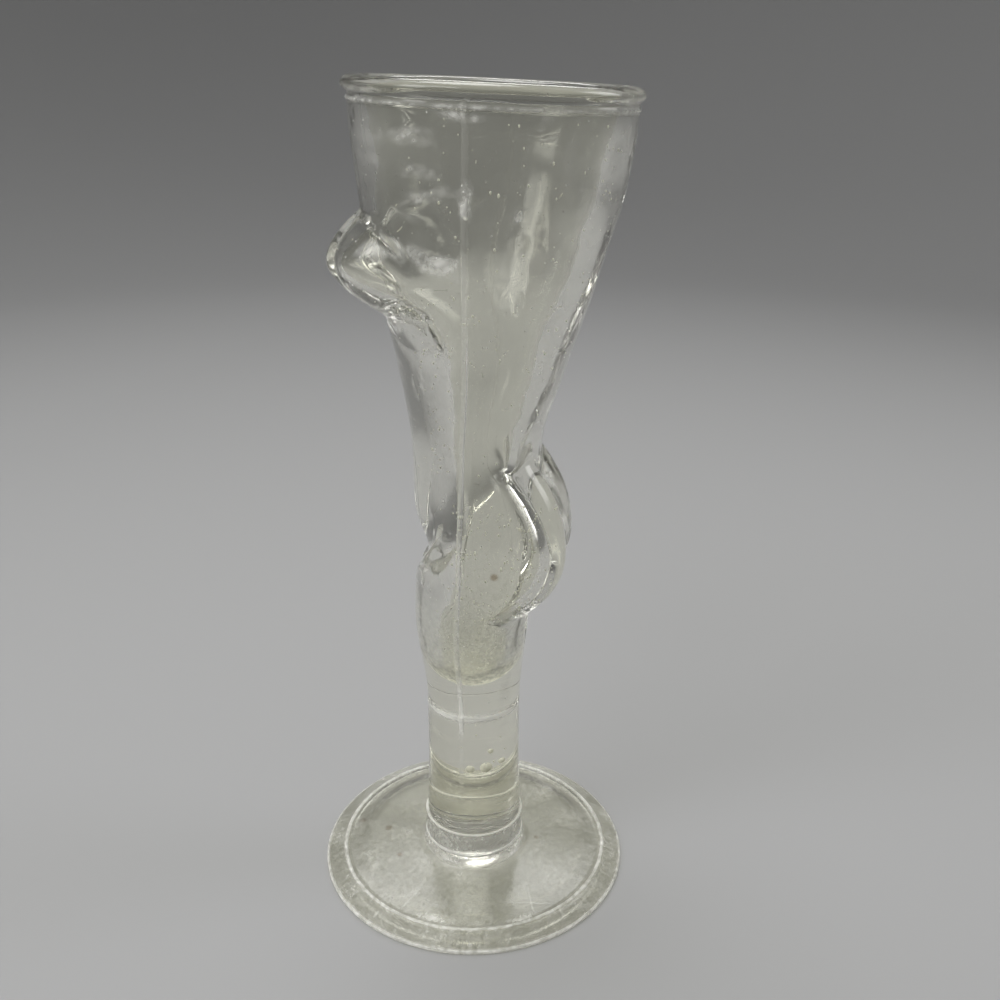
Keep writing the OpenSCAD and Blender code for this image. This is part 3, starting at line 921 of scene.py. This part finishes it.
class Surface(Tree):
    """The nodes of a new material, whose patterns and marks lie still on the object"""

    def __init__(self, name):
        self.material = bpy.data.materials.new(name)
        super().__init__(self.material)
        self.nodes.clear()
        self.place = self.add("TexCoord").outputs["Object"]

    def spread(self, value, low, high, to_low, to_high):
        """A value between low and high, mapped to the range from to_low to to_high"""
        node = self.add("MapRange", Value=value, From_Min=low, From_Max=high, To_Min=to_low, To_Max=to_high)
        return node.outputs["Result"]

    def pattern(self, to_low, to_high, scale, detail, span, stretch=(1, 1, 1)):
        """Noise whose span is mapped to the range from to_low to to_high"""
        place = self.add("Mapping", Vector=self.place, Scale=stretch).outputs["Vector"]
        value = self.add("TexNoise", Vector=place, Scale=scale, Detail=detail).outputs["Fac"]
        return self.spread(value, *span, to_low, to_high)

    def mixed(self, share, first, second):
        """A mix of two shaders, with a share of the second"""
        mix = self.add("MixShader", Fac=share)
        self.put(mix.inputs[1], first)
        self.put(mix.inputs[2], second)
        return mix.outputs["Shader"]

    def measure(self, operation, vector):
        """A distance from a point, or a length along a direction, at each place on the surface"""
        return self.worked_out("VectorMath", operation, self.place, vector).outputs["Value"]

    def between(self, value, low, high, edge):
        """1 where a value lies between low and high, with soft edges"""
        above = self.spread(value, low, low + edge, 0, 1)
        return self.times(above, self.spread(value, high - edge, high, 1, 0))

    def speck(self, place, radius):
        """1 in the middle of a round speck"""
        away = self.measure("DISTANCE", place * MM)
        return self.spread(away, SPECK_CORE * radius * MM, radius * MM, 1, 0)

    def scratch(self, start, end):
        """1 on a straight thin line between two places on the foot's upper face"""
        along = (end - start).normalized()
        across = Vector((-along.y, along.x, 0))
        low, high = ((across.dot(start) + side * SCRATCH_HALF_W) * MM for side in (-1, 1))
        width = self.between(self.measure("DOT_PRODUCT", across), low, high, SCRATCH_HALF_W * MM)
        first, last = (along.dot(point) * MM for point in (start, end))
        length = self.between(self.measure("DOT_PRODUCT", along), first, last, MM)
        up = self.measure("DOT_PRODUCT", Vector((0, 0, 1)))
        above = self.spread(up, SCRATCH_H[0] * MM, SCRATCH_H[1] * MM, 0, 1)
        return self.times(self.times(width, length), above)

    def dust(self, scale, size, share):
        """Round dots in some cells of a random pattern: 1 inside a dot"""
        cells = self.add("TexVoronoi", Vector=self.place, Scale=scale)
        dot = self.spread(cells.outputs["Distance"], DUST_CORE * size, size, 1, 0)
        red = self.add("SeparateColor", Color=cells.outputs["Color"]).outputs["Red"]
        return self.times(dot, self.spread(red, 1 - share, 1 - share + CELL_EDGE, 0, 1))

    def scattered(self, onward):
        """White scattering, with a share of the light that goes on through the surface"""
        back = self.add("BsdfDiffuse", Color=FROST_TINT).outputs["BSDF"]
        ahead = self.add("BsdfTranslucent", Color=FROST_TINT).outputs["BSDF"]
        return self.mixed(onward, back, ahead)

    def lit_through(self, shader):
        """A shader whose shadows let tinted light through"""
        through = self.add("BsdfTransparent", Color=SHADOW_TINT).outputs["BSDF"]
        return self.mixed(self.add("LightPath").outputs["Is Shadow Ray"], shader, through)

    def finished(self, shader):
        """The material, with a shader as its surface"""
        self.put(self.add("OutputMaterial").inputs["Surface"], shader)
        return self.material


def glass(name, haze, rough, dust, floor_haze=0.0, grain=0.0, onward=0.1,
          specks=(), scratches=(), tint=THIN_TINT, solid_base=0.0):
    """Clear glass with clouds of haze from low to high, frost, uneven polish, dust, specks and scratches

    floor_haze is added at the cavity's bottom, grain breaks up the haze, and onward is the share of the
    scattered light that goes on through the surface. Up to solid_base above the joint of bowl and stem, the
    tint fades from that of thick glass to its own.
    """
    tree = Surface(name)
    up = tree.add("SeparateXYZ", Vector=tree.place).outputs["Z"]
    fine = tree.pattern(*FINE_SHARE, **FINE)
    # The frost attribute also carries the painted glints on the foot and the partly painted bright line at
    # the cavity's bottom
    frost = tree.add("Attribute")
    frost.attribute_name = "frost"
    frost = frost.outputs["Fac"]

    milk = tree.pattern(*haze, **CLOUDS)
    milk = tree.plus(milk, tree.pattern(0, haze[1], **STREAKS))
    milk = tree.plus(milk, tree.times(frost, fine))
    milk = tree.plus(milk, tree.times(tree.dust(**DUST), dust))
    if floor_haze:
        full, gone = ((BOWL_BASE + h) * MM for h in FLOOR_HAZE_H)
        milk = tree.plus(milk, tree.times(tree.spread(up, full, gone, floor_haze, 0), fine))
        full, gone = ((BOWL_BASE + FLOOR_T + h) * MM for h in FLOOR_GLOW_H)
        glass_side = tree.add("NewGeometry").outputs["Backfacing"]
        onward = tree.plus(tree.times(tree.spread(up, full, gone, FLOOR_GLOW, 0), glass_side), onward)
    if grain:
        milk = tree.times(milk, tree.pattern(1 - grain, 1 + grain, **GRAIN))
    for start, end in scratches:
        milk = tree.plus(milk, tree.times(tree.scratch(start, end), SCRATCH_WHITE))

    if solid_base:
        base = tree.spread(up, BOWL_BASE * MM, (BOWL_BASE + solid_base) * MM, 1, 0)
        tint = tree.add("MixRGB", Fac=base, Color1=tint, Color2=THICK_TINT).outputs["Color"]
    for place, radius in specks:
        share = tree.times(tree.speck(place, radius), STAIN_SHARE)
        tint = tree.add("MixRGB", Fac=share, Color1=tint, Color2=STAIN).outputs["Color"]

    polish = tree.plus(tree.pattern(*rough, **POLISH), tree.times(frost, FROST_ROUGH))
    clear = tree.add("BsdfPrincipled", Roughness=polish, IOR=GLASS_IOR, Transmission_Weight=1.0)
    tree.put(clear.inputs["Base Color"], tint)
    surface = tree.mixed(milk, clear.outputs["BSDF"], tree.scattered(onward))
    return tree.finished(tree.lit_through(surface))


def bubble_painted_reflection_material():
    """White walls for bubbles and seeds, a painted reflection: real bubbles are clear and look white only
    where they mirror bright light
    """
    tree = Surface("bubble_glass")
    return tree.finished(tree.lit_through(tree.scattered(BUBBLE_ONWARD)))


def joint_material():
    """Nothing to see, for the faces where two pieces are fused"""
    tree = Surface("joint_clear")
    return tree.finished(tree.add("BsdfTransparent").outputs["BSDF"])


def build_bowl(materials):
    rings, frost, outer_rows, bead_rows = bowl_rings()
    low = (0, 0, BOWL_BASE)
    well = (0, float(size_at(CAVITY_LOW, SET_BACK) - size_at(CAVITY_LOW, LEAD)), BOWL_BASE + FLOOR_T)
    vertices, sides, bottom, top = skinned(rings, low, well)
    small, shells = bubble_parts(seeds(), SEED_DETAIL, len(vertices))
    bead_start = outer_rows * len(COLUMNS)
    bead_end = bead_start + bead_rows * len(COLUMNS)
    kinds = np.full(len(sides) + len(top), CAVITY)
    kinds[:bead_start] = SKIN
    kinds[bead_start:bead_end] = BEAD
    kinds = np.concatenate((kinds, np.full(len(bottom), JOINT), np.full(len(shells), BUBBLE)))
    vertices = np.concatenate((vertices, small))
    made("bowl_glass", vertices, sides + top + bottom + shells, kinds, frost, materials)


def build_stem(materials):
    rings, frost = stem_rings()
    vertices, sides, bottom, top = skinned(rings, (0, 0, BOSS_TOP), (0, 0, BOWL_BASE))
    small, shells = bubble_parts(stem_bubbles(), BUBBLE_DETAIL, len(vertices))
    kinds = [SKIN] * len(sides) + [JOINT] * (len(bottom) + len(top)) + [BUBBLE] * len(shells)
    vertices = np.concatenate((vertices, small))
    made("stem_glass", vertices, sides + bottom + top + shells, kinds, frost, materials)


def build_foot(materials):
    rings, frost = foot_rings()
    vertices, sides, bottom, top = skinned(rings, (0, 0, FOOT_HOLLOW_H), (0, 0, BOSS_TOP))
    kinds = [SKIN] * (len(sides) + len(bottom)) + [JOINT] * len(top)
    made("foot_glass", vertices, sides + bottom + top, kinds, frost, materials)


# Studio, in metres: a round pale floor that curves up into its own backdrop
STAGE_R = 0.9
STAGE_GAP = 0.00005
STAGE_CURVE_R = 0.35
STAGE_WALL_H = 0.45
STAGE_COLOUR = (0.42, 0.42, 0.418, 1)
STAGE_ROUGHNESS = 0.9
STAGE_FLAT_POINTS = 6
STAGE_CURVE_POINTS = 16
STAGE_STEPS = 96
STAGE_WELD = 1e-6


def stage_mesh():
    """The floor's half section turned round the upright axis"""
    flat = STAGE_R - STAGE_CURVE_R
    turn = np.radians(np.linspace(-90, 0, STAGE_CURVE_POINTS))[1:]
    section = np.concatenate((
        np.linspace((0, 0), (flat, 0), STAGE_FLAT_POINTS),
        np.c_[flat + STAGE_CURVE_R * np.cos(turn), STAGE_CURVE_R * (1 + np.sin(turn))],
        [(STAGE_R, STAGE_WALL_H)],
    ))
    bm = bmesh.new()
    line = [bm.verts.new((r, 0, z)) for r, z in section]
    edges = [bm.edges.new(pair) for pair in zip(line, line[1:])]
    bmesh.ops.spin(
        bm, geom=line + edges, cent=(0, 0, 0), axis=(0, 0, 1), angle=2 * math.pi, steps=STAGE_STEPS,
    )
    bmesh.ops.remove_doubles(bm, verts=bm.verts, dist=STAGE_WELD)
    bmesh.ops.recalc_face_normals(bm, faces=bm.faces)
    mesh = bpy.data.meshes.new("floor")
    bm.to_mesh(mesh)
    bm.free()
    mesh.polygons.foreach_set("use_smooth", [True] * len(mesh.polygons))
    return mesh


def add_stage():
    mesh = stage_mesh()
    material = bpy.data.materials.new("pale_floor")
    material.use_nodes = True
    bsdf = material.node_tree.nodes["Principled BSDF"]
    bsdf.inputs["Base Color"].default_value = STAGE_COLOUR
    bsdf.inputs["Roughness"].default_value = STAGE_ROUGHNESS
    mesh.materials.append(material)
    floor = bpy.data.objects.new("floor", mesh)
    floor.location.z = -STAGE_GAP
    bpy.context.scene.collection.objects.link(floor)


# Soft lamps: name, place from the camera's side, width and height, radiance, spread in degrees, and whether
# glass mirrors the lamp or is only lit by it
LAMPS = [
    ("top_lamp", (-0.1, 0.2, 0.85), (0.5, 0.45), 1.6, 120, True),
    ("front_lamp", (-0.5, -0.6, 0.8), (0.42, 0.34), 1.8, 140, True),
    ("front_fill", (-0.5, -0.6, 0.8), (1.0, 0.8), 0.9, 140, False),
    ("back_lamp", (0.05, 0.62, 0.66), (0.6, 0.14), 1.2, 110, True),
    ("left_lamp", (-0.62, -0.3, 0.45), (0.36, 0.6), 0.7, 90, True),
    ("right_lamp", (0.62, 0.05, 0.4), (0.32, 0.6), 0.7, 90, True),
]
LAMP_AIM = (0, 0, 0.06)
# How steeply a lamp fades at its edges, and the level in its middle that keeps its mean strength at 1
LAMP_EDGE = 6.0
LAMP_LEVEL = 1.54
WORLD_LEVEL = 0.1


def fade_edges(data):
    """Makes a lamp even in its middle and dark at its edges, at the same mean strength"""
    tree = Tree(data)
    place = tree.add("NewGeometry").outputs["Parametric"]
    rest = tree.worked_out("VectorMath", "SUBTRACT", (1, 1, 1), place).outputs["Vector"]
    hump = tree.worked_out("VectorMath", "MULTIPLY", place, rest).outputs["Vector"]
    split = tree.add("SeparateXYZ", Vector=hump)
    across, up = (tree.times(split.outputs[axis], LAMP_EDGE) for axis in "XY")
    level = tree.times(tree.times(across, up), LAMP_LEVEL, clamp=False)
    tree.put(tree.nodes["Emission"].inputs["Strength"], level)


def add_lamp(name, place, size, radiance, spread, gleam):
    """A rectangular soft lamp that faces the glass"""
    data = bpy.data.lights.new(name, "AREA")
    data.shape = "RECTANGLE"
    data.size, data.size_y = size
    data.energy = radiance * math.pi * size[0] * size[1]
    data.spread = math.radians(spread)
    fade_edges(data)
    lamp = bpy.data.objects.new(name, data)
    lamp.location = seen(*place)
    aim = Vector(LAMP_AIM) - lamp.location
    lamp.rotation_mode = "QUATERNION"
    lamp.rotation_quaternion = aim.to_track_quat("-Z", "Y")
    lamp.visible_camera = False
    lamp.visible_glossy = gleam
    bpy.context.scene.collection.objects.link(lamp)


def add_world(strength):
    world = bpy.data.worlds.new("studio")
    world.use_nodes = True
    background = world.node_tree.nodes["Background"]
    background.inputs["Color"].default_value = (1, 1, 1, 1)
    background.inputs["Strength"].default_value = strength
    bpy.context.scene.world = world


add_camera()

# Glass of each kind, with haze and roughness from low to high
joint = joint_material()
skin = glass(
    "clear_glass", haze=(0.0, 0.03), rough=(0.0, 0.05), dust=0.75, specks=BOWL_SPECKS, solid_base=22.0,
)
cavity = glass("cavity_glass", haze=(0.0, 0.04), rough=(0.0, 0.08), dust=0.3, floor_haze=0.75, onward=0.2)
# Bubbles and seeds get white walls as a painted reflection
bubble = bubble_painted_reflection_material()
solid = glass("solid_glass", haze=(0.0, 0.03), rough=(0.0, 0.05), dust=0.75, tint=THICK_TINT)
hazy = glass(
    "hazy_glass", haze=(0.05, 0.14), rough=(0.14, 0.22), dust=0.35, grain=0.5,
    specks=FOOT_SPECKS, scratches=FOOT_SCRATCHES, tint=THICK_TINT,
)
build_bowl((skin, joint, bubble, cavity, solid))
build_stem((solid, joint, bubble))
build_foot((hazy, joint))

add_stage()
for lamp in LAMPS:
    add_lamp(*lamp)
add_world(WORLD_LEVEL)

# Light passes many surfaces in thick glass, and caustics stay off because the shadows let light through
scene = bpy.context.scene
scene.view_settings.view_transform = "Standard"
scene.cycles.max_bounces = 32
scene.cycles.transmission_bounces = 28
scene.cycles.transparent_max_bounces = 32
scene.cycles.glossy_bounces = 12
scene.cycles.caustics_refractive = False
scene.cycles.caustics_reflective = False
